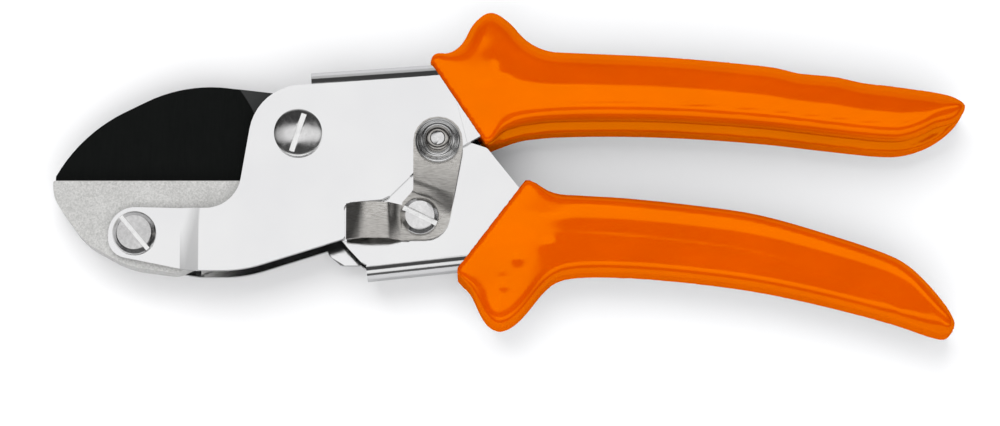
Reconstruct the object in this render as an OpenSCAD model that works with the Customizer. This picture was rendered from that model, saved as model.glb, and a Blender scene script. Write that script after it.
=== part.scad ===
// Anvil pruning shears with two pressed-steel channel handles, dipped grips,
// a blade that closes on a soft anvil, and a thumb latch that holds them shut.
// The tool lies flat on z = 0, jaws towards -X, and turns about the Z axis.

/* [Sheet metal] */
// Thickness of the handle sheet
sheet = 1.6; // [1.4:0.1:1.6]
// Distance from the middle plane to the outer face of the upper handle's cheeks
outer_half = 6.4; // [6.4:0.1:6.8]
// Clearance between the cheeks of the two handles
side_gap = 0.2; // [0.1:0.05:0.3]
// Outer radius of the bends between web and cheeks
bend_r = 3; // [2.4:0.1:3.2]

/* [Jaws] */
// Thickness of the blade
blade_thickness = 3; // [2.4:0.2:3.6]
// Thickness left at the cutting edge
edge_thickness = 0.4; // [0.3:0.1:0.8]
// Thickness of the anvil
anvil_thickness = 7; // [6:0.5:8]
// Height of the cutting line
cut_y = -10.3; // [-10.5:0.1:-10.1]

/* [Fasteners] */
// Radius of the pivot bolt
pivot_r = 3.5; // [3:0.1:3.7]
// Radius of the pivot bolt's head
pivot_head_r = 5.4; // [5:0.1:6]
// Radius of the anvil screw
anvil_screw_r = 2.2; // [1.8:0.1:2.4]
// Radius of the anvil screw's head
anvil_head_r = 4.9; // [4:0.1:5]
// Radius of the pin that ties the blade to the lower handle
blade_pin_r = 1.6; // [1.2:0.1:1.8]

/* [Latch] */
// Thickness of the latch sheet
latch_sheet = 1.2; // [1:0.1:1.2]
// Radius of the knob's widest ring
knob_r = 5.1; // [4.6:0.1:5.3]
// Radius of the latch screw's head
latch_head_r = 4.2; // [3.6:0.1:4.2]

/* [Handle spring] */
// Outer radius of the coil
coil_r = 2.6; // [2.2:0.1:2.7]
// Diameter of the spring wire
wire_d = 0.9; // [0.7:0.1:1]
// Number of turns
coil_turns = 11; // [8:1:14]

/* [Grips] */
// Thickness of the grips, the thickest part that the tool lies on
grip_thickness = 18; // [17.6:0.2:20]

/* [Hidden] */
$fn = 64;
hex = 6;
// Running clearance round each shaft
fit = 0.05;
// Longer than the tool, for solids that cut right through it
reach = 200;

mid = grip_thickness / 2;
outer_face = mid + outer_half;
inner_half = outer_half - sheet - side_gap;
inner_face = mid + inner_half;
arm_face = mid + anvil_thickness / 2 + sheet;

// Upper handle: where its arms step in to the anvil, and its web's outer face
step_start_x = -22.2;
step_end_x = -26.4;
web_start_x = 2.7;
web_start_y = 14.2;
web_slope = 4;
web_length = 33;

// Lower handle: where its cheeks step out inside the grip, and its web's outer face
flare_start_x = 52;
flare_end_x = 56;
floor_start_x = 15.6;
floor_start_y = -32.6;
floor_slope = 6;
floor_length = 26;
lobe_r = 10.2;

// Fastener centres
anvil_screw_at = [-36.6, -22.5];
blade_pin_at = [8, -9.5];
latch_at = [27.4, -18.8];
knob_at = [31.4, -2];

// Pivot hardware: the head and its dome, the slot, the washer, the nut and the bearings
pivot_head_t = 2.2;
dome_t = 1;
pivot_slot = [9, 1.2, 1];
pivot_slot_angle = 72;
pivot_washer_r = 6.6;
pivot_washer_t = 0.6;
pivot_nut_r = 6.2;
bush_wall = 1;
spacer_r = 7.5;

// Anvil screw hardware, each slot as [length, width, depth]
anvil_head_t = 1.9;
anvil_slot = [2 * anvil_head_r + 1, 1, 1];
anvil_slot_angle = -50;
anvil_washer_r = 4.4;
anvil_washer_t = 0.6;
anvil_nut_r = 4.2;
anvil_nut_t = 2;

// Latch levels
latch_clear = 0.1;
latch_base_z = inner_face + latch_clear;
latch_arm_z = outer_face + 0.3;
latch_head_z = latch_base_z + latch_sheet + 0.4;
latch_head_t = 1.7;
latch_slot = [2 * latch_head_r + 1, 1.2, 0.9];
latch_slot_angle = -26;
latch_screw_r = 2;
latch_screw_z = mid + 0.6;
latch_shoulder_r = 2.45;
latch_nut_r = 3.4;
latch_nut_z = mid + 0.8;
latch_washer_r = 3.4;
latch_washer_t = 0.3;
rivet_r = 1.5;
rivet_rise = 4.4;

// The lever's step up to its arm, along the line from the screw to the knob
joggle_angle = 69;
joggle_start = 4.5;
joggle_end = 7.4;

// The curled strap
strap_root_x = 25;
strap_low_y = -24.2;
strap_high_y = -16.2;

// Corners are [x, y, radius]
upper_front = [
    [web_start_x, web_start_y - bend_r, 0],
    [-9.3, 10.9, 12],
    [-14, -17.1, 8],
    [-42.4, -16.4, 6],
    [-42.6, -27.2, 4.5],
    [-24, -31, 30],
    [-12.4, -31, 30],
    [10.6, -23.8, 0.6],
    [10.3, -15.8, 1.5],
    [19.8, -14.9, 3],
    [26.2, -8.6, 10],
    [38, -2.2, 10]
];
upper_tang = [
    [46, 2.2, 8],
    [60, 3.9, 40],
    [92, 3.5, 80],
    [125.5, -0.6, 60],
    [135, -0.6, 5],
    [141.5, 4.2, 2]
];
upper_web = [
    [140, 7.2, 0],
    [112, 12.4, 100],
    [80, 15.2, 100],
    [50, 15.8, 40],
    [34, 13.5, 0]
];
lower_front = [
    [3.5, 9.58, 0],
    [-7.1, -7.32, 0],
    [10.2, -24.5, 2],
    [14.4, -29, 1],
    [floor_start_x, floor_start_y + bend_r, 0]
];
lower_web = [
    [40, -27.1, 0],
    [44, -28, 10],
    [60, -28.8, 40],
    [80, -28.8, 80],
    [100, -30.8, 80],
    [128, -36.8, 60],
    [141.5, -41.8, 0]
];
lower_tang = [
    [141, -36.5, 6],
    [134, -30.6, 10],
    [113, -22.6, 80],
    [85, -17.4, 80],
    [59, -15.9, 10],
    [49.9, -12.4, 1],
    [42.4, -3, 1]
];
back_ear = [
    [6, -19, 0],
    [6.4, -26, 2.5],
    [9.5, -28.6, 2],
    [18, -28.6, 0],
    [18, -19, 0]
];
// Points on the grips' outlines, as [x, y, 1 where the outline flows through or 0 at a sharp corner]
upper_grip_outline = [
    [29.6, 16.4, 0],
    [30.6, 18.2, 1],
    [34, 18.8, 1],
    [36.8, 21.2, 1],
    [39.5, 25.9, 1],
    [43.2, 28.3, 1],
    [47.2, 26.2, 1],
    [51.4, 21.8, 1],
    [56, 19.5, 1],
    [62, 19, 1],
    [83, 18, 1],
    [103.7, 16.1, 1],
    [108.4, 15.4, 1],
    [112.8, 14.3, 1],
    [121, 13.5, 1],
    [127.2, 12.1, 1],
    [134, 11.3, 1],
    [146, 9.2, 1],
    [149.9, 7, 1],
    [149.5, 4.4, 1],
    [145.3, 0.3, 1],
    [140, -2.4, 1],
    [134, -3.5, 1],
    [121.5, -2.4, 1],
    [104, -0.4, 1],
    [83, 1, 1],
    [63, 1.2, 1],
    [51, 0.3, 1],
    [42.2, -2.6, 0]
];
lower_grip_outline = [
    [51.2, -10.4, 0],
    [53, -10.9, 1],
    [57.8, -13, 1],
    [63, -13.6, 1],
    [73, -14.2, 1],
    [90, -16, 1],
    [103.2, -18, 1],
    [118.4, -22.3, 1],
    [133.6, -27.6, 1],
    [139.6, -31.6, 1],
    [144.2, -37.6, 1],
    [146.7, -42, 1],
    [146.8, -44.4, 1],
    [144.6, -45.5, 1],
    [134.2, -42.1, 1],
    [118.9, -38, 1],
    [103.6, -34.7, 1],
    [88.2, -32.6, 1],
    [73.2, -31.4, 1],
    [61, -31.6, 1],
    [56.4, -33.6, 1],
    [51.1, -39.8, 1],
    [47.8, -42.8, 1],
    [44.6, -43.6, 1],
    [41.6, -41.2, 1],
    [38.6, -35, 1],
    [36.2, -32.3, 1],
    [35.4, -31.1, 0]
];
// The grooves along the grips' inner sides, between the cheeks
upper_groove = [
    [36, -12],
    [40, 2],
    [46, 3.8],
    [60, 5.6],
    [92, 5.2],
    [125.5, 1.2],
    [134, 1.2],
    [140, 4.4],
    [150, -12]
];
lower_groove = [
    [44, 0],
    [48, -15],
    [59, -18],
    [85, -19.2],
    [113, -24.2],
    [134, -32],
    [139.5, -36.5],
    [152, -36.5],
    [152, 0]
];
anvil_corners = [
    [-55.2, cut_y, 0.5],
    [-55, -14.4, 8],
    [-48, -24.3, 16],
    [-38, -29.8, 20],
    [-27, -31.3, 5],
    [-20, -28, 4],
    [-13, -20, 4],
    [-10.5, -16, 1],
    [-10.5, cut_y, 0.5]
];
blade_corners = [
    [-54.9, cut_y + fit, 0.3],
    [-3, cut_y + fit, 4],
    [9, -17.5, 4],
    [14.5, -11.5, 4],
    [9.5, 6, 6],
    [-2, 9.6, 8],
    [-25.8, 12.4, 33],
    [-49.2, 1, 36],
    [-54.9, -8.9, 0.5]
];
lever_corners = [
    [25.9, 3.6, 5.4],
    [37.1, 3.6, 5.4],
    [36.9, -4, 10],
    [33.2, -24, 5.5],
    [23.4, -24, 0],
    [23.4, -15.6, 0],
    [25.9, -12.8, 1.5]
];
// Underside of the latch's curled strap, as [x, z, radius]
strap_corners = [
    [23.4, latch_base_z, 0],
    [20.4, latch_base_z + 4.5, 1.6],
    [15, latch_base_z + 5.3, 4],
    [10.9, latch_arm_z + 0.1, 0]
];
// The thumb knob's stepped outline, as [radius, height]
knob_profile = [
    [rivet_r + fit, 0],
    [knob_r, 0],
    [knob_r, 1.1],
    [knob_r - 0.5, 1.5],
    [4.2, 1.5],
    [4, 2.3],
    [3.2, 2.6],
    [2.9, 4],
    [2.3, 4.5],
    [rivet_r + fit, 4.6]
];

// The blade is ground inside this circle, and thins from its spine to the cutting line
grind_at = [-38.5, -8];
grind_r = 31.3;
spine_y = 12;
spine_step = 0.1;

groove_half = 3;

fine_steps = 10;
outline_steps = 4;

// The coil's place along the two webs, and the studs that hold it
spring_x = 17;
lower_seat_x = 4.6;
seat_clear = 0.2;
seat_foot = 0.7;
seat_flange = 0.8;
seat_post = 2.2;
spring_steps = 12;
spring_sides = 8;
spring_length = 41;

function unit(v) = v / norm(v);
function xy(p) = [p[0], p[1]];
function turned(v, a) = [v[0] * cos(a) - v[1] * sin(a), v[0] * sin(a) + v[1] * cos(a)];
function moved(path, step) = [for (p = path) p + step];
function reversed(path) = [for (i = [len(path) - 1:-1:0]) path[i]];

// The arc that rounds corner b between its neighbours a and c
function corner_arc(a, b, c, steps) =
    let (
        u = unit(xy(a) - xy(b)),
        v = unit(xy(c) - xy(b)),
        half = acos(u * v) / 2,
        centre = xy(b) + unit(u + v) * b[2] / sin(half),
        start = xy(b) + u * b[2] / tan(half) - centre,
        sweep = -sign(u[0] * v[1] - u[1] * v[0]) * (180 - 2 * half)
    )
    [for (k = [0:steps]) centre + turned(start, sweep * k / steps)];

// An outline from corners [x, y, radius]
function rounded(corners, steps = 5) =
    let (n = len(corners))
    [for (i = [0:n - 1]) each
        corners[i][2] > 0
            ? corner_arc(corners[(i + n - 1) % n], corners[i], corners[(i + 1) % n], steps)
            : [xy(corners[i])]];

// The direction of a flowing outline at point i, or nothing at a sharp corner
function heading(points, i) =
    let (n = len(points))
    points[i][2] * unit(xy(points[(i + 1) % n]) - xy(points[(i + n - 1) % n]));

// A smooth curve from a to b that leaves along u and arrives along v
function blend(a, b, u, v, t) =
    a + (b - a) * (3 * t * t - 2 * t * t * t)
        + u * (t - 2 * t * t + t * t * t) + v * (t * t * t - t * t);

// A closed outline that flows through its points
function flowing(points, steps) =
    let (n = len(points))
    [for (i = [0:n - 1]) let (
            j = (i + 1) % n,
            a = xy(points[i]),
            b = xy(points[j]),
            size = norm(b - a),
            straight = points[i][2] + points[j][2] == 0
        )
        for (k = [0:straight ? 0 : steps - 1])
            blend(a, b, heading(points, i) * size, heading(points, j) * size, k / steps)];

module both_sides() {
    children();
    translate([0, 0, 2 * mid])
        mirror([0, 0, 1])
            children();
}

module plate(points, low, high) {
    translate([0, 0, low])
        linear_extrude(height = high - low)
            polygon(points);
}

// A solid of one (x, z) outline that runs along Y
module along_y(points, low = -reach, high = reach) {
    translate([0, high, 0])
        rotate([90, 0, 0])
            linear_extrude(height = high - low)
                polygon(points);
}

module rod(at, r, low, high, sides = 64) {
    translate([at[0], at[1], low])
        cylinder(r = r, h = high - low, $fn = sides);
}

module ring(at, outer, inner, low, high) {
    difference() {
        rod(at, outer, low, high);
        rod(at, inner, low - 1, high + 1);
    }
}

// A screwdriver slot of size [length, width, depth], cut down from the top of a head
module slot(at, angle, size, top) {
    translate([at[0], at[1], top - size[2] / 2 + 0.5])
        rotate([0, 0, angle])
            cube([size[0], size[1], size[2] + 1], center = true);
}

// A slotted head with a bevelled rim
module bevelled_head(at, r, low, high) {
    bevel = (high - low) * 0.55;
    translate([at[0], at[1], low])
        rotate_extrude()
            polygon([[0, 0], [r, 0], [r, high - low - bevel], [r - bevel, high - low], [0, high - low]]);
}

module round_rect(x, y, r) {
    square([x, y - 2 * r], center = true);
    square([x - 2 * r, y], center = true);
    for (i = [-1, 1], j = [-1, 1])
        translate([i * (x / 2 - r), j * (y / 2 - r)])
            circle(r = r);
}

// The bent top of a channel: its outer face is at y = 0 and it opens towards -Y
module channel_cap(half, length) {
    depth = 20;
    rotate([90, 0, 90])
        linear_extrude(height = length)
            intersection() {
                translate([-depth / 2, 0])
                    difference() {
                        round_rect(depth, 2 * half, bend_r);
                        round_rect(depth - 2 * sheet, 2 * half - 2 * sheet, bend_r - sheet);
                    }
                translate([-bend_r - 0.5, -half])
                    square([bend_r + 0.5, 2 * half]);
            }
}

// The hidden web between a handle's cheeks inside its grip
module tang_web(path, shift, half) {
    plate(concat(path, reversed(moved(path, [0, shift]))), mid - half, mid + half);
}

// ---- upper handle ----

upper_cheek = rounded(concat(upper_front, upper_tang, upper_web), fine_steps);
upper_web_path = rounded(upper_web);
upper_profile = [
    [-reach, arm_face - sheet],
    [step_end_x, arm_face - sheet],
    [step_start_x, outer_face - sheet],
    [reach, outer_face - sheet],
    [reach, outer_face],
    [step_start_x, outer_face],
    [step_end_x, arm_face],
    [-reach, arm_face]
];

module upper_channel() {
    both_sides()
        intersection() {
            plate(upper_cheek, mid, outer_face + 1);
            along_y(upper_profile);
        }
    translate([web_start_x, web_start_y, mid])
        rotate([0, 0, web_slope])
            channel_cap(outer_half, web_length);
    tang_web(upper_web_path, -sheet, outer_half);
}

module upper_frame() {
    color("gainsboro")
        difference() {
            upper_channel();
            rod([0, 0], pivot_r + fit, -1, outer_face + 1);
            rod(anvil_screw_at, anvil_screw_r + fit, -1, outer_face + 1);
        }
}

module upper_grip() {
    color("orange")
        difference() {
            plate(flowing(upper_grip_outline, outline_steps), 0, grip_thickness);
            upper_channel();
            plate(upper_groove, mid - groove_half, mid + groove_half);
        }
}

// ---- anvil and its screw ----

module anvil() {
    half = anvil_thickness / 2;
    color("silver")
        difference() {
            plate(rounded(anvil_corners, fine_steps), mid - half, mid + half);
            rod(anvil_screw_at, anvil_screw_r + fit, 0, outer_face);
        }
}

module anvil_screw() {
    top = arm_face + anvil_head_t;
    bottom = 2 * mid - arm_face;
    color("lightgray")
        difference() {
            union() {
                bevelled_head(anvil_screw_at, anvil_head_r, arm_face, top);
                rod(anvil_screw_at, anvil_screw_r, bottom - anvil_washer_t - anvil_nut_t, arm_face + fit);
            }
            slot(anvil_screw_at, anvil_slot_angle, anvil_slot, top);
        }
}

module anvil_washer() {
    bottom = 2 * mid - arm_face;
    color("gray")
        ring(anvil_screw_at, anvil_washer_r, anvil_screw_r + fit, bottom - anvil_washer_t, bottom);
}

module anvil_nut() {
    top = 2 * mid - arm_face - anvil_washer_t;
    color("lightgray")
        difference() {
            rod(anvil_screw_at, anvil_nut_r, top - anvil_nut_t, top, hex);
            rod(anvil_screw_at, anvil_screw_r + fit, -1, top + 1);
        }
}

// ---- pivot ----

module pivot_bolt() {
    top = outer_face + pivot_head_t;
    dome_r = (pivot_head_r * pivot_head_r + dome_t * dome_t) / (2 * dome_t);
    color("lightgray")
        difference() {
            union() {
                intersection() {
                    rod([0, 0], pivot_head_r, outer_face, top + 1);
                    translate([0, 0, top - dome_r])
                        sphere(r = dome_r, $fn = 96);
                }
                rod([0, 0], pivot_r, 0, outer_face + fit);
            }
            slot([0, 0], pivot_slot_angle, pivot_slot, top);
        }
}

module pivot_washer() {
    bottom = 2 * mid - outer_face;
    color("gray")
        ring([0, 0], pivot_washer_r, pivot_r + fit, bottom - pivot_washer_t, bottom);
}

module pivot_nut() {
    top = 2 * mid - outer_face - pivot_washer_t;
    color("lightgray")
        difference() {
            rod([0, 0], pivot_nut_r, 0, top, hex);
            rod([0, 0], pivot_r + fit, -1, top + 1);
        }
}

// ---- lower handle ----

lower_web_path = rounded(lower_web);
lower_cheek = rounded(concat(lower_front, lower_web, lower_tang));
lower_profile = [
    [-reach, inner_face - sheet],
    [flare_start_x, inner_face - sheet],
    [flare_end_x, outer_face - sheet],
    [reach, outer_face - sheet],
    [reach, outer_face],
    [flare_end_x, outer_face],
    [flare_start_x, inner_face],
    [-reach, inner_face]
];

module lower_channel() {
    both_sides()
        intersection() {
            union() {
                plate(lower_cheek, mid, outer_face + 1);
                rod([0, 0], lobe_r, mid, outer_face + 1);
            }
            along_y(lower_profile);
        }
    translate([floor_start_x, floor_start_y, mid])
        rotate([0, 0, floor_slope])
            mirror([0, 1, 0])
                channel_cap(inner_half, floor_length);
    tang_web(lower_web_path, sheet, inner_half);
}

module lower_frame() {
    color("gainsboro")
        difference() {
            union() {
                lower_channel();
                plate(rounded(back_ear), mid - inner_half, mid - inner_half + sheet);
            }
            rod([0, 0], pivot_r + fit + bush_wall, -1, outer_face + 1);
            rod(blade_pin_at, blade_pin_r + fit, -1, outer_face + 1);
            rod(latch_at, latch_screw_r + fit, mid, outer_face + 1);
        }
}

module lower_grip() {
    color("orange")
        difference() {
            plate(flowing(lower_grip_outline, outline_steps), 0, grip_thickness);
            lower_channel();
            plate(lower_groove, mid - groove_half, mid + groove_half);
        }
}

// ---- blade ----

module blade() {
    half = blade_thickness / 2;
    edge = edge_thickness / 2;
    outline = rounded(blade_corners, fine_steps);
    color("dimgray")
        difference() {
            union() {
                difference() {
                    plate(outline, mid - half, mid + half);
                    rod(grind_at, grind_r, 0, outer_face, 128);
                }
                intersection() {
                    plate(outline, mid - half, mid + half);
                    rod(grind_at, grind_r, 0, outer_face, 128);
                    rotate([90, 0, 90])
                        translate([0, 0, -reach])
                            linear_extrude(height = 2 * reach)
                                polygon([
                                    [cut_y - 1, mid - edge],
                                    [spine_y, mid - half + spine_step],
                                    [spine_y, mid + half - spine_step],
                                    [cut_y - 1, mid + edge]
                                ]);
                }
            }
            rod([0, 0], pivot_r + fit + bush_wall, 0, outer_face);
            rod(blade_pin_at, blade_pin_r + fit, 0, outer_face);
        }
}

module blade_pin() {
    color("gray")
        rod(blade_pin_at, blade_pin_r, mid - inner_half, mid + inner_half);
}

module pivot_bush() {
    color("goldenrod")
        ring([0, 0], pivot_r + fit + bush_wall, pivot_r + fit, mid - inner_half, mid + inner_half);
}

module blade_spacer() {
    ring([0, 0], spacer_r, pivot_r + fit + bush_wall, mid + blade_thickness / 2, inner_face - sheet);
}

module blade_spacer_front() {
    color("goldenrod")
        blade_spacer();
}

module blade_spacer_back() {
    color("goldenrod")
        translate([0, 0, 2 * mid])
            mirror([0, 0, 1])
                blade_spacer();
}

// ---- handle spring, between the two webs ----

// Puts children on the inner face of the upper web, with +Z towards the lower web
module on_upper_web() {
    translate([web_start_x, web_start_y, mid])
        rotate([0, 0, web_slope])
            translate([spring_x - web_start_x, -sheet, 0])
                rotate([90, 0, 0])
                    children();
}

module on_lower_web() {
    translate([floor_start_x, floor_start_y, mid])
        rotate([0, 0, floor_slope])
            translate([lower_seat_x, sheet, 0])
                rotate([-90, 0, 0])
                    children();
}

// A stud that centres the coil, with a foot narrow enough for the web between its bends
module spring_seat(foot) {
    stud_r = coil_r - wire_d - seat_clear;
    cylinder(r = stud_r, h = foot + seat_flange + seat_post);
    translate([0, 0, foot])
        cylinder(r = coil_r, h = seat_flange);
}

module spring_seat_upper() {
    color("gray")
        on_upper_web()
            spring_seat(0);
}

module spring_seat_lower() {
    color("gray")
        on_lower_web()
            spring_seat(seat_foot);
}

module handle_spring() {
    rings = coil_turns * spring_steps;
    mean_r = coil_r - wire_d / 2;
    rise = spring_length - wire_d;
    points = [for (i = [0:rings], k = [0:spring_sides - 1])
        let (
            turn = 360 * i / spring_steps,
            side = 360 * k / spring_sides,
            out = mean_r + wire_d / 2 * cos(side)
        )
        [out * cos(turn), out * sin(turn), wire_d / 2 + rise * i / rings + wire_d / 2 * sin(side)]];
    walls = [for (i = [0:rings - 1], k = [0:spring_sides - 1])
        let (next = (k + 1) % spring_sides)
        each [
            [i * spring_sides + k, (i + 1) * spring_sides + k, (i + 1) * spring_sides + next],
            [i * spring_sides + k, (i + 1) * spring_sides + next, i * spring_sides + next]
        ]];
    first = [for (k = [0:spring_sides - 1]) k];
    last = [for (k = [spring_sides - 1:-1:0]) rings * spring_sides + k];
    color("gray")
        on_upper_web()
            translate([0, 0, seat_flange])
                polyhedron(points = points, faces = concat(walls, [first], [last]));
}

// ---- latch ----

module latch_screw() {
    top = latch_head_z + latch_head_t;
    color("lightgray")
        difference() {
            union() {
                bevelled_head(latch_at, latch_head_r, latch_head_z, top);
                rod(latch_at, latch_shoulder_r, inner_face, latch_head_z + fit);
                rod(latch_at, latch_screw_r, latch_screw_z, inner_face + fit);
            }
            slot(latch_at, latch_slot_angle, latch_slot, top);
        }
}

module latch_nut() {
    color("lightgray")
        difference() {
            rod(latch_at, latch_nut_r, latch_nut_z, inner_face - sheet, hex);
            rod(latch_at, latch_screw_r + fit, mid, inner_face);
        }
}

module latch_washer() {
    color("gray")
        ring(latch_at, latch_washer_r, latch_shoulder_r + fit,
            latch_head_z - fit - latch_washer_t, latch_head_z - fit);
}

module latch_lever() {
    strap = rounded(strap_corners);
    step = [
        [-reach, latch_base_z],
        [joggle_start, latch_base_z],
        [joggle_end, latch_arm_z],
        [reach, latch_arm_z]
    ];
    root = [strap_root_x, latch_base_z];
    rise = [0, latch_sheet];
    color("darkgray")
        difference() {
            union() {
                intersection() {
                    plate(rounded(lever_corners), mid, outer_face + 5);
                    translate([latch_at[0], latch_at[1], 0])
                        rotate([0, 0, joggle_angle])
                            along_y(concat(step, reversed(moved(step, rise))));
                }
                along_y(concat([root], strap, reversed(moved(strap, rise)), [root + rise]),
                    strap_low_y, strap_high_y);
            }
            rod(latch_at, latch_shoulder_r + fit, mid, outer_face + 5);
            rod(knob_at, rivet_r + fit, mid, outer_face + 5);
        }
}

module latch_knob() {
    color("lightgray")
        translate([knob_at[0], knob_at[1], latch_arm_z + latch_sheet])
            rotate_extrude()
                polygon(knob_profile);
}

module knob_rivet() {
    color("gray")
        rod(knob_at, rivet_r, latch_arm_z, latch_arm_z + latch_sheet + rivet_rise);
}

upper_frame();
upper_grip();
anvil();
anvil_screw();
anvil_washer();
anvil_nut();
pivot_bolt();
pivot_washer();
pivot_nut();
spring_seat_upper();
handle_spring();
lower_frame();
lower_grip();
blade();
blade_pin();
pivot_bush();
blade_spacer_front();
blade_spacer_back();
spring_seat_lower();
latch_screw();
latch_nut();
latch_washer();
latch_lever();
latch_knob();
knob_rivet();
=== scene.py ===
"""Looks for a pair of anvil pruning shears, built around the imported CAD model."""
import math

import bmesh
import bpy
import numpy as np
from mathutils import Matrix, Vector


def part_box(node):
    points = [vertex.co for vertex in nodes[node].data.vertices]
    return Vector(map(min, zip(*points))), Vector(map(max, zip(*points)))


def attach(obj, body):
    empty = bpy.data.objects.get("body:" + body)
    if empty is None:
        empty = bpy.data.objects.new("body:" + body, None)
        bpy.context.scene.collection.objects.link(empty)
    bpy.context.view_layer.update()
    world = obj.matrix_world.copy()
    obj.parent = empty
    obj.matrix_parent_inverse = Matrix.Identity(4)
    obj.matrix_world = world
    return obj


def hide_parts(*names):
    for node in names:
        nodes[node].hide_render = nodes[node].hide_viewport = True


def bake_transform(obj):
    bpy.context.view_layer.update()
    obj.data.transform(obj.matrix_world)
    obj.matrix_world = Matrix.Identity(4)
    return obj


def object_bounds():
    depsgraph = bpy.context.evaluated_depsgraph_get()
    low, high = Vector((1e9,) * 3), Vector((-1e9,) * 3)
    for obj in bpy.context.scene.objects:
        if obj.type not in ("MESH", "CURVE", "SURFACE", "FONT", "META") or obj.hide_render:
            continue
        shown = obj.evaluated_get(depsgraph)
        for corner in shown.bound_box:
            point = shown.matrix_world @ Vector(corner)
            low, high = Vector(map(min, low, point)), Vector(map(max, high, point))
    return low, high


MM = 0.001
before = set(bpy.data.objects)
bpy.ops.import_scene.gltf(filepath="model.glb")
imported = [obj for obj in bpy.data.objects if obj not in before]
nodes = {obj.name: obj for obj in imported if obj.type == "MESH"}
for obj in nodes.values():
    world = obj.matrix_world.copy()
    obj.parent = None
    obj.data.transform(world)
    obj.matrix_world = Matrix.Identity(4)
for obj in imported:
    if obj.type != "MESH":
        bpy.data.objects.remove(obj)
cad_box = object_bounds()
scene = bpy.context.scene

# ---------------------------------------------------------------- camera, floor and light

VIEW_WIDTH = 0.2240
VIEW_TILT = 9
VIEW_DISTANCE = 1.0
# What the camera looks at: in from the left end, down from the far side, and up from the floor
VIEW_IN = 0.1005
VIEW_DOWN = 0.0464
VIEW_UP = 0.0154


def make_camera():
    """Looks almost straight down, leaning a little towards -Y."""
    low, high = cad_box
    target = Vector((low.x + VIEW_IN, high.y - VIEW_DOWN, VIEW_UP))
    data = bpy.data.cameras.new("camera")
    data.sensor_width = 36
    data.lens = data.sensor_width * VIEW_DISTANCE / VIEW_WIDTH
    data.clip_end = 20
    camera = bpy.data.objects.new("camera", data)
    tilt = math.radians(VIEW_TILT)
    camera.location = target + VIEW_DISTANCE * Vector((0, -math.sin(tilt), math.cos(tilt)))
    camera.rotation_euler = (tilt, 0, 0)
    scene.collection.objects.link(camera)
    scene.camera = camera


def make_floor():
    bpy.ops.mesh.primitive_plane_add(size=16, location=(0, 0, 0))
    floor = bpy.context.object
    floor.name = "floor"
    material, shader = new_material("floor_white")
    tree = material.node_tree
    # Painted reflection shade: glossy rays see the floor painted grey (0.56), so the steel's reflections
    # of it darken, while camera and soft rays see it white
    path = tree.nodes.new("ShaderNodeLightPath")
    tone = two_tone(tree, path.outputs["Is Glossy Ray"], (0.93, 0.93, 0.935), (0.56, 0.56, 0.57))
    tree.links.new(tone, shader.inputs["Base Color"])
    shader.inputs["Roughness"].default_value = 0.7
    shader.inputs["Specular IOR Level"].default_value = 0.2
    floor.data.materials.append(material)


def add_softbox(name, place, size, power, target=(0.045, -0.01, 0.01)):
    """A soft lamp that metals don't mirror: what they mirror is the world."""
    data = bpy.data.lights.new(name, "AREA")
    data.shape = "RECTANGLE"
    data.size, data.size_y = size
    data.energy = power
    lamp = bpy.data.objects.new(name, data)
    lamp.location = place
    lamp.rotation_euler = (Vector(place) - Vector(target)).to_track_quat("Z", "Y").to_euler()
    lamp.visible_glossy = False
    scene.collection.objects.link(lamp)


# Brightness of the studio against the lean from overhead, in degrees, towards +Y
PANELS = [
    (-90, 0.12), (-70, 0.08), (-64, 0.80), (-41, 0.88), (-36, 0.06), (-10, 0.06),
    (-4, 0.92), (18, 0.92), (24, 0.05), (60, 0.05), (65, 0.45), (90, 0.50),
]
# Where the panels fade out towards -X and towards +X, and what is left of them there
LEFT_FADE = (-0.9, -0.38)
RIGHT_FADE = (0.6, 0.95)
END_GLOW = 0.08
# Even light that soft surfaces gather from the studio
AMBIENT = (0.36, 0.36, 0.365)
# What the camera sees past the floor
BACKDROP = (0.98, 0.98, 0.98)


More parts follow.
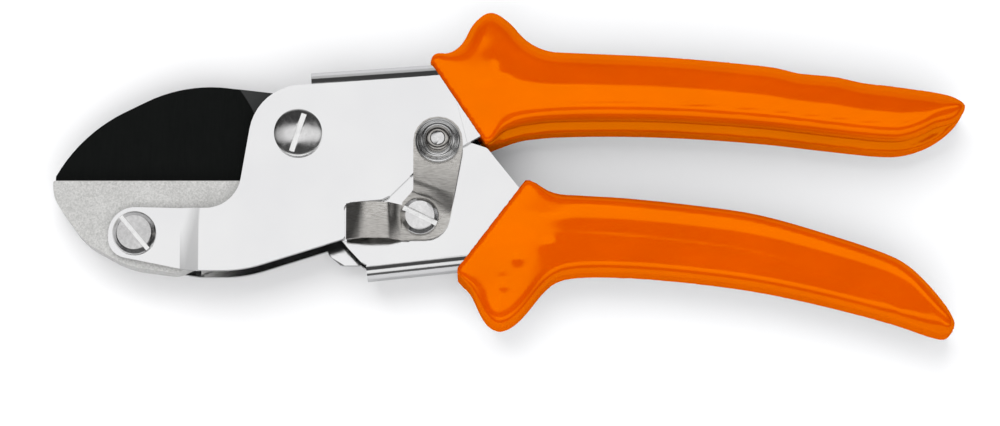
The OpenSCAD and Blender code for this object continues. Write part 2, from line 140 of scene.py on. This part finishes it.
def make_world():
    """Long light panels that run along X with dark gaps between them, and plain white behind."""
    world = bpy.data.worlds.new("studio")
    scene.world = world
    world.use_nodes = True
    tree = world.node_tree
    tree.nodes.clear()
    link = tree.links.new
    output = tree.nodes.new("ShaderNodeOutputWorld")
    coordinates = tree.nodes.new("ShaderNodeTexCoord")
    split = tree.nodes.new("ShaderNodeSeparateXYZ")
    link(coordinates.outputs["Generated"], split.inputs[0])
    lean = add_node(tree, "ShaderNodeMath", operation="ARCTAN2")
    link(split.outputs["Y"], lean.inputs[0])
    link(split.outputs["Z"], lean.inputs[1])
    ramp = tree.nodes.new("ShaderNodeValToRGB")
    elements = ramp.color_ramp.elements
    while len(elements) < len(PANELS):
        elements.new(0.5)
    for element, (angle, value) in zip(elements, PANELS):
        element.position = (angle + 90) / 180
        element.color = (value, value, value * 1.01, 1)
    link(ranged(tree, lean.outputs[0], 0, 1, -math.pi / 2, math.pi / 2), ramp.inputs["Fac"])
    left = ranged(tree, split.outputs["X"], END_GLOW, 1, *LEFT_FADE)
    right = ranged(tree, split.outputs["X"], 1, END_GLOW, *RIGHT_FADE)
    ends = add_node(tree, "ShaderNodeMath", operation="MULTIPLY")
    link(left, ends.inputs[0])
    link(right, ends.inputs[1])
    shade = add_node(tree, "ShaderNodeVectorMath", operation="SCALE")
    link(ramp.outputs["Color"], shade.inputs[0])
    link(ends.outputs[0], shade.inputs["Scale"])
    around = tree.nodes.new("ShaderNodeBackground")
    behind = tree.nodes.new("ShaderNodeBackground")
    behind.inputs["Color"].default_value = (*BACKDROP, 1)
    path = tree.nodes.new("ShaderNodeLightPath")
    mix = tree.nodes.new("ShaderNodeMixShader")
    link(shade.outputs["Vector"], around.inputs["Color"])
    link(path.outputs["Is Camera Ray"], mix.inputs["Fac"])
    link(around.outputs[0], mix.inputs[1])
    link(behind.outputs[0], mix.inputs[2])
    ambient = tree.nodes.new("ShaderNodeBackground")
    ambient.inputs["Color"].default_value = (*AMBIENT, 1)
    soft = tree.nodes.new("ShaderNodeMixShader")
    link(path.outputs["Is Diffuse Ray"], soft.inputs["Fac"])
    link(mix.outputs[0], soft.inputs[1])
    link(ambient.outputs[0], soft.inputs[2])
    link(soft.outputs[0], output.inputs["Surface"])


# ---------------------------------------------------------------- materials

def new_material(name):
    material = bpy.data.materials.new(name)
    material.use_nodes = True
    return material, material.node_tree.nodes["Principled BSDF"]


def add_node(tree, kind, **settings):
    node = tree.nodes.new(kind)
    for key, value in settings.items():
        if key in node.inputs:
            node.inputs[key].default_value = value
        else:
            setattr(node, key, value)
    return node


def placed(tree, centre=(0, 0, 0), turn=0.0, stretch=(1, 1, 1)):
    """Object coordinates moved to a centre, turned about Z and stretched."""
    coordinates = tree.nodes.new("ShaderNodeTexCoord")
    shift = add_node(tree, "ShaderNodeVectorMath", operation="SUBTRACT")
    shift.inputs[1].default_value = centre
    mapping = tree.nodes.new("ShaderNodeMapping")
    mapping.inputs["Rotation"].default_value = (0, 0, turn)
    mapping.inputs["Scale"].default_value = stretch
    tree.links.new(coordinates.outputs["Object"], shift.inputs[0])
    tree.links.new(shift.outputs[0], mapping.inputs["Vector"])
    return mapping.outputs["Vector"]


def noise(tree, vector, scale, detail=4.0, rough=0.55):
    node = add_node(tree, "ShaderNodeTexNoise", Scale=scale, Detail=detail, Roughness=rough)
    tree.links.new(vector, node.inputs["Vector"])
    return node.outputs["Fac"]


def ranged(tree, value, low, high, start=0.3, end=0.7):
    """A 0 to 1 value stretched to run from low to high."""
    node = add_node(tree, "ShaderNodeMapRange")
    node.inputs["From Min"].default_value = start
    node.inputs["From Max"].default_value = end
    node.inputs["To Min"].default_value = low
    node.inputs["To Max"].default_value = high
    tree.links.new(value, node.inputs["Value"])
    return node.outputs["Result"]


def two_tone(tree, value, dark, light, base=None):
    """A colour between dark and light; base, where given, is a socket that takes dark's place."""
    mix = add_node(tree, "ShaderNodeMix", data_type="RGBA")
    ends = [socket for socket in mix.inputs if socket.type == "RGBA"]
    ends[0].default_value = (*dark, 1)
    ends[1].default_value = (*light, 1)
    if base is not None:
        tree.links.new(base, ends[0])
    tree.links.new(value, mix.inputs[0])
    return [socket for socket in mix.outputs if socket.type == "RGBA"][0]


def bumped(tree, heights, shader):
    """Chains bumps, given as (height, strength, distance in metres)."""
    normal = None
    for height, strength, distance in heights:
        bump = add_node(tree, "ShaderNodeBump", Strength=strength, Distance=distance)
        tree.links.new(height, bump.inputs["Height"])
        if normal is not None:
            tree.links.new(normal, bump.inputs["Normal"])
        normal = bump.outputs["Normal"]
    tree.links.new(normal, shader.inputs["Normal"])


def metal(name, dark, light, roughness, grain, grain_strength, turn=0.0, stretch=(1, 1, 1)):
    """A metal with a fine grain that shows in its colour, roughness and surface."""
    material, shader = new_material(name)
    tree = material.node_tree
    shader.inputs["Metallic"].default_value = 1
    fine = noise(tree, placed(tree, turn=turn, stretch=stretch), grain)
    broad = noise(tree, placed(tree), 60, 3)
    tree.links.new(two_tone(tree, ranged(tree, fine, 0, 1), dark, light), shader.inputs["Base Color"])
    tree.links.new(ranged(tree, broad, *roughness), shader.inputs["Roughness"])
    bumped(tree, [(fine, grain_strength, 0.00005)], shader)
    return material


BRIGHT_STEEL = ((0.74, 0.735, 0.73), (0.92, 0.915, 0.91))
DULL_STEEL = ((0.56, 0.555, 0.55), (0.78, 0.775, 0.77))
WORN_STEEL = ((0.44, 0.42, 0.39), (0.66, 0.64, 0.61))


# The slots in the heads are painted brighter than the turned faces, as a painted highlight: where that
# starts, below the top
SLOT_DEPTH = (-0.00088, -0.00080)
SLOT_PAINTED_HIGHLIGHT = (0.95, 0.95, 0.94)


def turned_metal(name, node, dark, light, roughness=(0.16, 0.24), ring_pitch=0.00045):
    """Lathe-turned steel: faint rings round the axis, a shine that fans out from it, and a slot painted
    bright as a painted highlight.
    """
    material, shader = new_material(name)
    tree = material.node_tree
    low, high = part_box(node)
    centre = ((low.x + high.x) / 2, (low.y + high.y) / 2, high.z)
    shader.inputs["Metallic"].default_value = 1
    shader.inputs["Anisotropic"].default_value = 0.7
    tangent = add_node(tree, "ShaderNodeTangent", direction_type="RADIAL", axis="Z")
    tree.links.new(tangent.outputs[0], shader.inputs["Tangent"])
    at = placed(tree, centre)
    rings = add_node(tree, "ShaderNodeTexWave", wave_type="RINGS", rings_direction="Z",
                     Scale=0.05 / ring_pitch / 2, Distortion=0.5, Detail=2)
    rings.inputs["Detail Scale"].default_value = 3
    tree.links.new(at, rings.inputs["Vector"])
    spots = noise(tree, at, 900, 3)
    turned = two_tone(tree, ranged(tree, spots, 0, 1), dark, light)
    depth = tree.nodes.new("ShaderNodeSeparateXYZ")
    tree.links.new(at, depth.inputs[0])
    # Painted highlight: below SLOT_DEPTH the slot's floor is painted brighter than the turned faces
    slot = ranged(tree, depth.outputs["Z"], 1, 0, *SLOT_DEPTH)
    tree.links.new(two_tone(tree, slot, (0, 0, 0), SLOT_PAINTED_HIGHLIGHT, base=turned), shader.inputs["Base Color"])
    tree.links.new(ranged(tree, spots, *roughness), shader.inputs["Roughness"])
    heights = [(rings.outputs["Fac"], 0.8, 0.00003), (spots, 0.06, 0.00003)]
    bumped(tree, heights, shader)
    return material


def plated_sheet():
    """Bright plated sheet: mirror-like, with the faint orange peel and hairlines of rolled steel."""
    material, shader = new_material("plated_sheet")
    tree = material.node_tree
    shader.inputs["Metallic"].default_value = 1
    peel = noise(tree, placed(tree), 420, 3)
    hairs = noise(tree, placed(tree, stretch=(1, 14, 1)), 500, 3)
    broad = noise(tree, placed(tree), 45, 3)
    tree.links.new(two_tone(tree, ranged(tree, broad, 0, 1), (0.86, 0.86, 0.865), (0.91, 0.91, 0.905)),
                   shader.inputs["Base Color"])
    tree.links.new(ranged(tree, hairs, 0.07, 0.12), shader.inputs["Roughness"])
    bumped(tree, [(peel, 0.16, 0.00006), (hairs, 0.06, 0.00003)], shader)
    return material


def blasted_aluminium():
    material, shader = new_material("blasted_aluminium")
    tree = material.node_tree
    shader.inputs["Metallic"].default_value = 0.5
    grit = noise(tree, placed(tree), 2600, 2, 0.7)
    broad = noise(tree, placed(tree), 160, 4)
    tree.links.new(two_tone(tree, ranged(tree, grit, 0, 1), (0.50, 0.50, 0.485), (0.76, 0.755, 0.74)),
                   shader.inputs["Base Color"])
    tree.links.new(ranged(tree, broad, 0.42, 0.56), shader.inputs["Roughness"])
    bumped(tree, [(grit, 0.55, 0.00008), (broad, 0.1, 0.0001)], shader)
    return material


# The ground part of the blade is inside this circle, and the heel outside it is lighter
GRIND_CENTRE = (-0.0385, -0.008, 0)
GRIND_EDGE = (0.0312, 0.0315)


def blade_coating():
    """Matt black coating over ground steel, with the grinding just showing through."""
    material, shader = new_material("blade_coating")
    tree = material.node_tree
    grind = noise(tree, placed(tree, turn=math.radians(-60), stretch=(18, 1, 1)), 260, 3)
    grit = noise(tree, placed(tree), 1800, 2)
    coat = two_tone(tree, ranged(tree, grind, 0, 1),
                    (0.0030, 0.0036, 0.0034), (0.0048, 0.0054, 0.0051))
    radius = add_node(tree, "ShaderNodeVectorMath", operation="LENGTH")
    tree.links.new(placed(tree, GRIND_CENTRE, stretch=(1, 1, 0)), radius.inputs[0])
    heel = ranged(tree, radius.outputs["Value"], 0, 1, *GRIND_EDGE)
    tree.links.new(two_tone(tree, heel, (0, 0, 0), (0.036, 0.037, 0.037), base=coat),
                   shader.inputs["Base Color"])
    tree.links.new(ranged(tree, grit, 0.42, 0.58), shader.inputs["Roughness"])
    shader.inputs["Specular IOR Level"].default_value = 0.07
    bumped(tree, [(grind, 0.05, 0.00005), (grit, 0.12, 0.00003)], shader)
    return material


def dipped_vinyl():
    """Glossy orange vinyl: slow waves from dipping, and a shine that keeps the colour of the vinyl."""
    material, shader = new_material("dipped_vinyl")
    tree = material.node_tree
    link = tree.links.new
    waves = noise(tree, placed(tree, stretch=(0.6, 1, 1)), 110, 2)
    skin = noise(tree, placed(tree), 900, 2)
    link(two_tone(tree, ranged(tree, waves, 0, 1), (0.56, 0.056, 0.0), (0.61, 0.064, 0.0)),
         shader.inputs["Base Color"])
    shader.inputs["Roughness"].default_value = 0.5
    shader.inputs["Specular IOR Level"].default_value = 0.0
    shader.inputs["Subsurface Weight"].default_value = 0.1
    shader.inputs["Subsurface Radius"].default_value = (1, 0.3, 0.1)
    shader.inputs["Subsurface Scale"].default_value = 0.001
    bumped(tree, [(waves, 0.16, 0.0003), (skin, 0.04, 0.00004)], shader)
    shine = tree.nodes.new("ShaderNodeBsdfGlossy")
    facing = add_node(tree, "ShaderNodeLayerWeight", Blend=0.35)
    link(two_tone(tree, facing.outputs["Facing"], (0.22, 0.105, 0.0), (0.36, 0.12, 0.0)),
         shine.inputs["Color"])
    link(ranged(tree, skin, 0.10, 0.17), shine.inputs["Roughness"])
    for socket in (shine.inputs["Normal"], facing.inputs["Normal"]):
        link(shader.inputs["Normal"].links[0].from_socket, socket)
    both = tree.nodes.new("ShaderNodeAddShader")
    link(shader.outputs[0], both.inputs[0])
    link(shine.outputs[0], both.inputs[1])
    link(both.outputs[0], tree.nodes["Material Output"].inputs["Surface"])
    return material


# ---------------------------------------------------------------- CAD nodes that stay

def dress(name, material, edge=0.12, crease=28):
    """Gives a CAD node its material and broken edges: edge in millimetres, crease in degrees.
    On a mesh with very short edges the clamp leaves the bevel no width, and it only keeps the
    shading of the flats apart."""
    piece = nodes[name]
    piece.data.materials.clear()
    piece.data.materials.append(material)
    for polygon in piece.data.polygons:
        polygon.material_index = 0
        polygon.use_smooth = True
    weld = piece.modifiers.new("weld", "WELD")
    weld.merge_threshold = 1e-6
    bevel = piece.modifiers.new("edges", "BEVEL")
    bevel.width = edge * MM
    bevel.segments = 2
    bevel.limit_method = "ANGLE"
    bevel.angle_limit = math.radians(35)
    bevel.harden_normals = False
    bevel.use_clamp_overlap = True
    even = piece.modifiers.new("even", "WEIGHTED_NORMAL")
    even.mode = "FACE_AREA"
    even.weight = 100
    even.keep_sharp = True
    with bpy.context.temp_override(object=piece, active_object=piece, selected_objects=[piece],
                                   selected_editable_objects=[piece]):
        if piece.data.has_custom_normals:
            bpy.ops.mesh.customdata_custom_splitnormals_clear()
        bpy.ops.object.shade_smooth_by_angle(angle=math.radians(crease))


# ---------------------------------------------------------------- dipped grips

# All of this section is in millimetres. The net is the mesh of a sleeve, and the grid holds the
# distances that it is worked out from
GRIP_HALF = 9.0
NET_STEP = 0.75
GRID_STEP = 0.3

# round_outer and round_inner are the radii of the long edges. lip is how far the upper part of the
# sleeve stands back from the inner outline, and tip_lip the same near the tip. crown is how far the
# face falls to the outer side: it starts crown_from of the way across. beads are raised lines, as
# (distance from the lip, width, rise), and patches are soft bumps, as (x, y, rise, width)
UPPER_SHAPE = {
    "round_outer": 4.0, "round_inner": 3.0, "lip": 1.8, "tip_lip": 2.2, "plateau_drop": 0.2,
    "crown": 1.9, "crown_from": 0.55, "beads": ((2.6, 0.5, 0.2),),
    "patches": ((44, 16.5, 0.28, 2.0), (46.5, 13.5, 0.25, 1.8)),
}
LOWER_SHAPE = {
    "round_outer": 2.8, "round_inner": 2.2, "lip": 0.6, "tip_lip": 0.8, "plateau_drop": 0.02,
    "crown": 2.65, "crown_from": 0.32, "beads": ((9.2, 0.8, 0.13),),
    "patches": ((56.2, -25.5, 0.34, 1.5), (49.2, -28.6, 0.32, 1.2), (46.0, -31.2, 0.22, 1.1),
                (46.2, -34.6, 0.32, 1.0)),
}

# The long edges start sharp at the front edge, and both come to the same radius at the tip
ROUND_FRONT = 0.5
ROUND_FRONT_RUN = 9
TIP_ROUND = 3.0
TIP_ROUND_RUN = (14, 3)
# Between the inner and the outer radius, over this part of the way across
ROUND_BLEND = (0.3, 0.7)
# The face dips towards the front edge
FRONT_DROP = 1.5
FRONT_RUN = 14.0
CROWN_RUN = 12
# The lip grows from the front edge, widens towards the tip and then dies away, over these stretches
LIP_RUN = 6
LIP_WIDEN = (16, 6)
LIP_END = (8, 0.5)
# The beads fade in from the front edge and out towards the tip
BEAD_START = (6, 24)
BEAD_END = (4, 12)
# Heights between which the lip steps back, and the groove above that as (middle, half height, depth)
SHELF = (9.4, 10.6)
GROOVE = (12.2, 1.3, 2.0)
GROOVE_ROUND = 1.0
# Widths over which the lip and the groove blend into the rest
LIP_BLEND = 0.6
GROOVE_BLEND = 0.8


def outline_of(name):
    """The outline of a CAD grip, in millimetres, from the face that it lies on."""
    mesh = bmesh.new()
    mesh.from_mesh(nodes[name].data)
    bmesh.ops.remove_doubles(mesh, verts=mesh.verts, dist=1e-6)
    floor = {f for f in mesh.faces if all(abs(v.co.z) < 1e-5 for v in f.verts)}
    rim = [e for e in mesh.edges if sum(f in floor for f in e.link_faces) == 1]
    start = min((v for e in rim for v in e.verts), key=lambda v: (v.co.x, v.co.y))
    loop, edge, here = [start], None, start
    while True:
        edge = next(e for e in here.link_edges if e in rim and e is not edge)
        here = edge.other_vert(here)
        if here is start:
            break
        loop.append(here)
    points = np.array([v.co.xy for v in loop]) / MM
    mesh.free()
    return points


def smoothed(points, rounds=2):
    """Cuts the corners of an open path, and keeps its two ends."""
    for _ in range(rounds):
        a, b = points[:-1], points[1:]
        cut = np.stack([0.75 * a + 0.25 * b, 0.25 * a + 0.75 * b], 1).reshape(-1, 2)
        points = np.vstack([points[:1], cut, points[-1:]])
    return points


def split_outline(points, inner_sign):
    """The front edge, and the outer and inner sides from it to the tip.
    inner_sign is +1 where the inner side faces +Y."""
    ahead = np.roll(points, -1, 0)
    length = np.linalg.norm(ahead - points, axis=1)
    middle = (points + ahead)[:, 0] / 2
    front = min((i for i in range(len(points)) if length[i] > 10), key=lambda i: middle[i])
    points = np.roll(points, -front - 1, 0)
    tip = int(np.argmax(points[:, 0]))
    one, two = points[:tip + 1], points[tip:][::-1]
    if inner_sign * (one[0, 1] - two[0, 1]) > 0:
        one, two = two, one
    return np.array([one[0], two[0]]), smoothed(one), smoothed(two)


def distance(points, path):
    """Distance from each point to an open path."""
    best = np.full(len(points), 1e9)
    for a, b in zip(path[:-1], path[1:]):
        along = b - a
        share = np.clip((points - a) @ along / max(along @ along, 1e-12), 0, 1)
        best = np.minimum(best, np.linalg.norm(points - a - share[:, None] * along, axis=1))
    return best


def inside(points, loop):
    result = np.zeros(len(points), bool)
    for a, b in zip(loop, np.roll(loop, -1, 0)):
        crosses = (a[1] > points[:, 1]) != (b[1] > points[:, 1])
        rise = b[1] - a[1]
        if rise:
            result ^= crosses & (points[:, 0] < a[0] + (points[:, 1] - a[1]) * (b[0] - a[0]) / rise)
    return result


def ease(value, low, high):
    share = np.clip((value - low) / (high - low), 0, 1)
    return share * share * (3 - 2 * share)


def soft_max(a, b, blend):
    share = np.clip(0.5 + 0.5 * (a - b) / blend, 0, 1)
    return b + (a - b) * share + blend * share * (1 - share)


def rounded_box(side, top, radius):
    """Signed distance to a wall and a lid that meet in a rounded edge."""
    a, b = side + radius, top + radius
    return np.hypot(np.maximum(a, 0), np.maximum(b, 0)) + np.minimum(np.maximum(a, b), 0) - radius


class Grip:
    """A dipped sleeve over a channel handle, as a field that is zero on its surface."""

    def __init__(self, name, inner_sign, shape):
        self.front, self.outer, self.inner = split_outline(outline_of(name), inner_sign)
        self.loop = np.vstack([self.outer, self.inner[::-1]])
        self.shape = shape
        self.tip_x = self.loop[:, 0].max()
        self.corner = self.loop.min(0) - 4
        self.table = self.measure()

    def measure(self):
        """Signed distances to the outline and to its three parts, on a fine grid of x and y."""
        size = np.ceil((self.loop.max(0) + 4 - self.corner) / GRID_STEP).astype(int) + 2
        gx, gy = np.meshgrid(np.arange(size[0]), np.arange(size[1]), indexing="ij")
        at = self.corner + GRID_STEP * np.stack([gx.ravel(), gy.ravel()], 1)
        sign = np.where(inside(at, self.loop), 1, -1)
        outer, inner, front = (distance(at, p) for p in (self.outer, self.inner, self.front))
        side = -sign * np.minimum(np.minimum(outer, inner), front)
        return np.stack([side, sign * outer, sign * inner, front], 1).reshape(*size, 4)

    def field(self, points):
        x, y, z = points.T
        place = (points[:, :2] - self.corner) / GRID_STEP
        cell = np.clip(place.astype(int), 0, np.array(self.table.shape[:2]) - 2)
        i, j = cell.T
        u, v = (place - cell).T[:, :, None]
        low_y = self.table[i, j] * (1 - u) + self.table[i + 1, j] * u
        high_y = self.table[i, j + 1] * (1 - u) + self.table[i + 1, j + 1] * u
        side, outer, inner, front = (low_y * (1 - v) + high_y * v).T
        shape = self.shape
        height = np.abs(z - GRIP_HALF)
        to_tip = self.tip_x - x
        at_tip = 1 - ease(to_tip, LIP_WIDEN[1], LIP_WIDEN[0])
        lip = (shape["lip"] + (shape["tip_lip"] - shape["lip"]) * at_tip) * ease(front, 0, LIP_RUN)
        lip = lip * ease(to_tip, LIP_END[1], LIP_END[0])
        edge = soft_max(side, lip * ease(z, *SHELF) - inner, LIP_BLEND)
        across = inner / np.maximum(inner + outer, 1e-6)
        share = ease(across, *ROUND_BLEND)
        radius = shape["round_inner"] + (shape["round_outer"] - shape["round_inner"]) * share
        tip_share = 1 - ease(to_tip, TIP_ROUND_RUN[1], TIP_ROUND_RUN[0])
        radius = radius + (TIP_ROUND - radius) * tip_share
        radius = ROUND_FRONT + (radius - ROUND_FRONT) * ease(front, 0, ROUND_FRONT_RUN)
        half = GRIP_HALF - shape["plateau_drop"] - FRONT_DROP * (1 - ease(front, 0, FRONT_RUN))
        fall = np.clip((across - shape["crown_from"]) / (1 - shape["crown_from"]), 0, 1)
        half = half - shape["crown"] * fall * ease(front, 0, CROWN_RUN)
        for away, width, rise in shape["beads"]:
            line = np.exp(-((inner - lip - away) / width) ** 2)
            half = half + rise * line * ease(front, *BEAD_START) * ease(to_tip, *BEAD_END)
        for patch_x, patch_y, rise, width in shape["patches"]:
            half = half + rise * np.exp(-((x - patch_x) ** 2 + (y - patch_y) ** 2) / width ** 2)
        body = rounded_box(edge, height - half, radius)
        middle, reach, depth = GROOVE
        groove = rounded_box(inner - lip - depth, np.abs(z - middle) - reach, GROOVE_ROUND)
        return soft_max(body, -groove, GROOVE_BLEND)

    def settle(self, points, rounds=4):
        """Moves points onto the surface."""
        step = 0.02
        for _ in range(rounds):
            value = self.field(points)
            slope = np.stack([self.field(points + step * axis) - value for axis in np.eye(3)], 1) / step
            size = np.maximum((slope ** 2).sum(1), 0.15)
            points = points - np.clip(value / size, -0.6, 0.6)[:, None] * slope
        return points


def surface_net(grip, low, high, step):
    """Quads round the zero surface of a grip's field, one point to each cell that it crosses."""
    counts = np.ceil((high - low) / step).astype(int) + 1
    axes = [low[i] + step * np.arange(counts[i]) for i in range(3)]
    gx, gy = np.meshgrid(axes[0], axes[1], indexing="ij")
    columns = np.stack([gx.ravel(), gy.ravel()], 1)
    values = np.stack([
        grip.field(np.column_stack([columns, np.full(len(columns), z)])).reshape(counts[0], counts[1])
        for z in axes[2]], 2)
    solid = values < 0
    total = np.zeros(counts - 1, int)
    for corner in np.ndindex(2, 2, 2):
        total += solid[tuple(slice(c, n - 1 + c) for c, n in zip(corner, counts))]
    cells = np.argwhere((total > 0) & (total < 8))
    index = np.full(counts - 1, -1)
    index[tuple(cells.T)] = np.arange(len(cells))
    quads = []
    for axis in range(3):
        one, two = [i for i in range(3) if i != axis]
        near = [slice(None)] * 3
        near[axis] = slice(0, -1)
        far = [slice(None)] * 3
        far[axis] = slice(1, None)
        first, second = solid[tuple(near)], solid[tuple(far)]
        for start, flip in ((first & ~second, False), (~first & second, True)):
            at = np.argwhere(start)
            at = at[(at[:, one] > 0) & (at[:, two] > 0)]
            ring = []
            for d_one, d_two in ((1, 1), (0, 1), (0, 0), (1, 0)):
                cell = at.copy()
                cell[:, one] -= d_one
                cell[:, two] -= d_two
                ring.append(index[tuple(cell.T)])
            quad = np.stack(ring, 1)
            if flip != (axis == 1):
                quad = quad[:, ::-1]
            quads.append(quad)
    return low + (cells + 0.5) * step, np.vstack(quads)


def relaxed(points, quads, rounds=4):
    """Evens out the net by drawing each point towards its neighbours."""
    pairs = np.vstack([quads[:, [i, (i + 1) % 4]] for i in range(4)])
    count = np.bincount(pairs.ravel(), minlength=len(points))[:, None]
    for _ in range(rounds):
        total = np.zeros_like(points)
        np.add.at(total, pairs[:, 0], points[pairs[:, 1]])
        np.add.at(total, pairs[:, 1], points[pairs[:, 0]])
        points = 0.4 * points + 0.6 * total / count
    return points


def add_mesh(name, points, faces, material):
    mesh = bpy.data.meshes.new(name)
    mesh.from_pydata(points, [], faces)
    mesh.materials.append(material)
    mesh.polygons.foreach_set("use_smooth", [True] * len(mesh.polygons))
    mesh.update()
    piece = bpy.data.objects.new(name, mesh)
    scene.collection.objects.link(piece)
    return piece


def make_grip(name, body, node, material, inner_sign, shape):
    grip = Grip(node, inner_sign, shape)
    low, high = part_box(node)
    margin = 2 * NET_STEP
    points, quads = surface_net(grip, np.array(low) / MM - margin, np.array(high) / MM + margin, NET_STEP)
    points = grip.settle(points)
    points = grip.settle(relaxed(points, quads), 3)
    points = grip.settle(relaxed(points, quads, 2), 3)
    points[:, 2] = np.clip(points[:, 2], low.z / MM, high.z / MM)
    piece = add_mesh(name, (points * MM).tolist(), quads.tolist(), material)
    # Keeps the orange off the floor and out of the bright steel
    piece.visible_diffuse = False
    piece.visible_glossy = False
    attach(piece, body)
    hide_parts(node)


# ---------------------------------------------------------------- handle spring

# Distances from the faces that the seats stand on to where the coil starts and ends
UPPER_REST = 0.0009
LOWER_REST = 0.0016
COIL_WIRE = 0.00045
COIL_MEAN = 0.00212
COIL_TURNS = 12
COIL_STEPS = 28
COIL_SIDES = 10
# Turns at each end that lie close together
END_TURNS = 1.5


def coil_lift(share, length):
    """How far along its axis the coil has come, after a share of its turns."""
    dense = END_TURNS / COIL_TURNS
    open_part = min(max((share - dense) / (1 - 2 * dense), 0), 1)
    closed_part = min(share / dense, 1) + max((share - 1) / dense + 1, 0)
    return COIL_WIRE + (length - 6 * COIL_WIRE) * open_part + 3 * COIL_WIRE * closed_part


def make_spring(material):
    """A coil between the two seats, where they stand in the model."""
    upper_low, upper_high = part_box("spring_seat_upper")
    lower_low, lower_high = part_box("spring_seat_lower")
    upper_middle = (upper_low + upper_high) / 2
    lower_middle = (lower_low + lower_high) / 2
    top = Vector((upper_middle.x, upper_high.y - UPPER_REST, upper_middle.z))
    bottom = Vector((lower_middle.x, lower_low.y + LOWER_REST, top.z))
    axis = (bottom - top).normalized()
    side = axis.cross(Vector((0, 0, 1))).normalized()
    length = (bottom - top).length - 2 * COIL_WIRE
    rings = COIL_TURNS * COIL_STEPS
    points, faces = [], []
    for i in range(rings + 1):
        angle = 2 * math.pi * COIL_TURNS * i / rings
        out = math.cos(angle) * side + math.sin(angle) * Vector((0, 0, 1))
        centre = top + coil_lift(i / rings, length) * axis + COIL_MEAN * out
        for k in range(COIL_SIDES):
            turn = 2 * math.pi * k / COIL_SIDES
            points.append(centre + COIL_WIRE * (math.cos(turn) * out + math.sin(turn) * axis))
        if i:
            for k in range(COIL_SIDES):
                a = (i - 1) * COIL_SIDES + k
                b = (i - 1) * COIL_SIDES + (k + 1) % COIL_SIDES
                faces.append((a, b, b + COIL_SIDES, a + COIL_SIDES))
    faces.append(tuple(range(COIL_SIDES)))
    faces.append(tuple(rings * COIL_SIDES + k for k in range(COIL_SIDES - 1, -1, -1)))
    piece = add_mesh("handle_coil", points, faces, material)
    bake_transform(piece)
    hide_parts("handle_spring")


# ---------------------------------------------------------------- the object

make_camera()
make_world()
make_floor()
add_softbox("key", (-0.12, 0.52, 1.02), (1.0, 0.8), 8)
add_softbox("fill", (0.05, -0.60, 0.90), (1.3, 0.9), 8)

sheet = plated_sheet()
zinc = metal("zinc_plate", (0.50, 0.50, 0.52), (0.68, 0.68, 0.69), (0.28, 0.4), 1400, 0.2)
bronze = metal("bearing_bronze", (0.50, 0.33, 0.14), (0.66, 0.46, 0.22), (0.3, 0.42), 1600, 0.25)
wire = metal("spring_wire", (0.28, 0.28, 0.29), (0.42, 0.42, 0.43), (0.25, 0.36), 900, 0.15,
             stretch=(1, 6, 1))
brushed = metal("brushed_latch", (0.46, 0.44, 0.41), (0.82, 0.80, 0.76), (0.22, 0.34), 700, 0.5,
                turn=math.radians(-15), stretch=(1, 12, 1))
vinyl = dipped_vinyl()

dress("upper_frame", sheet, 0.32, 13)
dress("lower_frame", sheet, 0.32, 13)
dress("anvil", blasted_aluminium(), 0.25)
dress("blade", blade_coating(), 0.08)
TURNED = {
    "pivot_bolt": BRIGHT_STEEL, "anvil_screw": DULL_STEEL, "latch_screw": BRIGHT_STEEL,
    "latch_knob": WORN_STEEL, "knob_rivet": BRIGHT_STEEL,
}
for name, tones in TURNED.items():
    dress(name, turned_metal("turned_" + name, name, *tones), 0.22)
for name in ("anvil_washer", "anvil_nut", "pivot_washer", "pivot_nut", "blade_pin", "latch_nut",
             "latch_washer", "spring_seat_upper", "spring_seat_lower"):
    dress(name, zinc, 0.08)
for name in ("pivot_bush", "blade_spacer_front", "blade_spacer_back"):
    dress(name, bronze, 0.08)
make_spring(wire)
dress("latch_lever", brushed, 0.35)

make_grip("upper_grip_sleeve", "upper_handle", "upper_grip", vinyl, -1, UPPER_SHAPE)
make_grip("lower_grip_sleeve", "lower_handle", "lower_grip", vinyl, 1, LOWER_SHAPE)

scene.view_settings.view_transform = "Standard"
scene.view_settings.look = "None"
